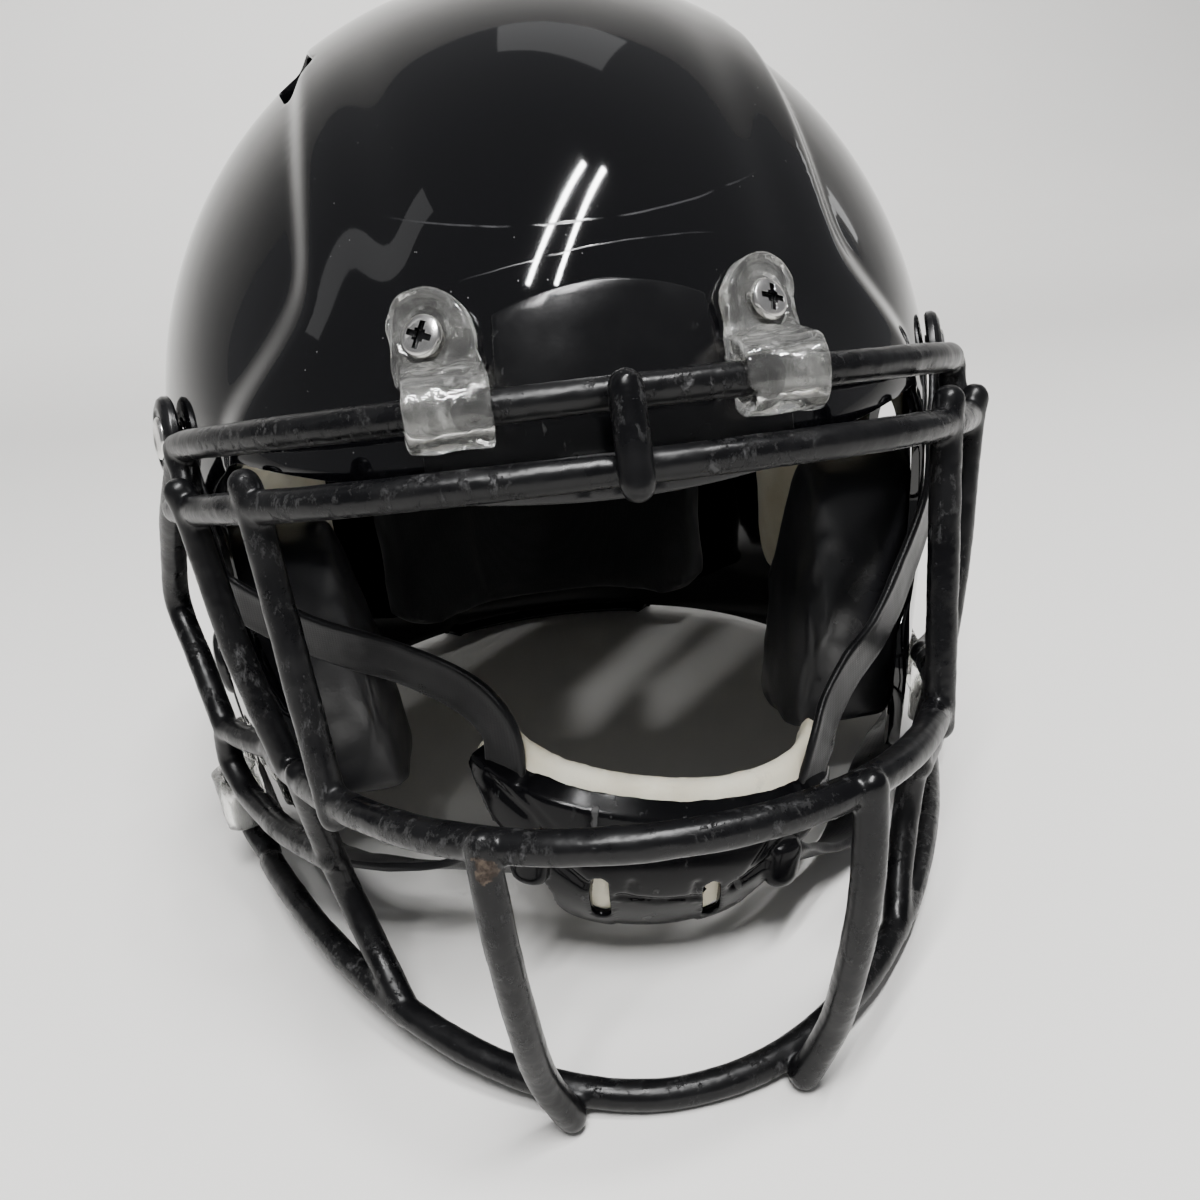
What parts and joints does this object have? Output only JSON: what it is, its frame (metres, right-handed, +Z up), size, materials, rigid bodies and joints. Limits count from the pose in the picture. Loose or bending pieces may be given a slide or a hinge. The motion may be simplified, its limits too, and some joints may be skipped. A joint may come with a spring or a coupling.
{
  "type": "american football helmet",
  "caption": "Hard-shell sports helmet with liner pads, a hinged welded-wire face mask in clear clips, and a hard-cup chin strap on snap buckles.",
  "frame": {"origin": "on the ground, in the middle of the whole helmet's box seen from above", "axes": "+X to the right of a viewer who faces the mask (the wearer's left), +Y from the face to the nape, +Z up"},
  "size_m": [0.261, 0.3464, 0.2645],
  "materials": {
    "shell_gloss": "high-gloss black moulded shell with fine wipe scratches",
    "bumper_satin": "black semi-gloss moulded bumper",
    "mask_coated": "black dipped plastic coating on steel wire, scuffed and chipped",
    "clip_clear": "clear moulded plastic, slightly yellowed",
    "screw_steel": "bright plated steel",
    "snap_metal": "bright nickel-plated snap",
    "buckle_black": "black moulded snap cover",
    "pad_black": "black satin vinyl skin over foam",
    "pad_cloth": "near-black knitted lining cloth over foam",
    "foam_cream": "cream closed-cell foam",
    "cup_gloss": "black gloss hard cup",
    "strap_web": "black satin strap webbing"
  },
  "bodies": {
    "shell": {"shell": "shell_gloss", "front_bumper": "bumper_satin", "rear_bumper": "bumper_satin", "front_clip_left": "clip_clear", "front_clip_screw_left": "screw_steel", "front_clip_nut_left": "screw_steel", "side_clip_nut_left": "screw_steel", "upper_snap_left_stud": "snap_metal", "lower_snap_left_stud": "snap_metal", "jaw_pad_left": "pad_black", "side_pad_left": "foam_cream", "upper_strap_left": "strap_web", "lower_strap_left": "strap_web", "front_clip_right": "clip_clear", "front_clip_screw_right": "screw_steel", "front_clip_nut_right": "screw_steel", "side_clip_nut_right": "screw_steel", "upper_snap_right_stud": "snap_metal", "lower_snap_right_stud": "snap_metal", "jaw_pad_right": "pad_black", "side_pad_right": "foam_cream", "upper_strap_right": "strap_web", "lower_strap_right": "strap_web", "front_pad": "pad_black", "back_pad": "pad_cloth", "crown_pad": "foam_cream", "chin_cup": "cup_gloss", "chin_cup_pad": "foam_cream"},
    "facemask": {"mask_top_bar": "mask_coated", "mask_brow_bar": "mask_coated", "mask_mid_bar": "mask_coated", "mask_lower_bar": "mask_coated", "mask_centre_post": "mask_coated", "mask_side_wire_left": "mask_coated", "mask_corner_link_left": "mask_coated", "mask_mid_end_left": "mask_coated", "mask_jaw_brace_left": "mask_coated", "mask_hinge_wire_left": "mask_coated", "mask_eye_wire_left": "mask_coated", "mask_cheek_wire_left": "mask_coated", "mask_outer_post_left": "mask_coated", "mask_inner_post_left": "mask_coated", "mask_side_wire_right": "mask_coated", "mask_corner_link_right": "mask_coated", "mask_mid_end_right": "mask_coated", "mask_jaw_brace_right": "mask_coated", "mask_hinge_wire_right": "mask_coated", "mask_eye_wire_right": "mask_coated", "mask_cheek_wire_right": "mask_coated", "mask_outer_post_right": "mask_coated", "mask_inner_post_right": "mask_coated", "side_clip_left": "clip_clear", "side_clip_right": "clip_clear", "side_clip_screw_left": "screw_steel", "side_clip_screw_right": "screw_steel"},
    "upper_buckle_left": {"upper_snap_left_buckle": "buckle_black"},
    "upper_buckle_right": {"upper_snap_right_buckle": "buckle_black"},
    "lower_buckle_left": {"lower_snap_left_buckle": "buckle_black"},
    "lower_buckle_right": {"lower_snap_right_buckle": "buckle_black"}
  },
  "joints": [
    {"name": "facemask_swing", "type": "hinge", "parent": "shell", "child": "facemask", "pos_m": [0, -0.1167, 0.1705], "axis": [-1, 0, 0], "range_deg": [0, 75]},
    {"name": "upper_snap_pull_left", "type": "slide", "parent": "shell", "child": "upper_buckle_left", "axis": [-0.9231, -0.36, 0.1351], "range_m": [0, 0.006]},
    {"name": "upper_snap_pull_right", "type": "slide", "parent": "shell", "child": "upper_buckle_right", "axis": [0.9231, -0.36, 0.1351], "range_m": [0, 0.006]},
    {"name": "lower_snap_pull_left", "type": "slide", "parent": "shell", "child": "lower_buckle_left", "axis": [-0.9958, -0.0186, -0.0896], "range_m": [0, 0.006]},
    {"name": "lower_snap_pull_right", "type": "slide", "parent": "shell", "child": "lower_buckle_right", "axis": [0.9958, -0.0186, -0.0896], "range_m": [0, 0.006]}
  ]
}
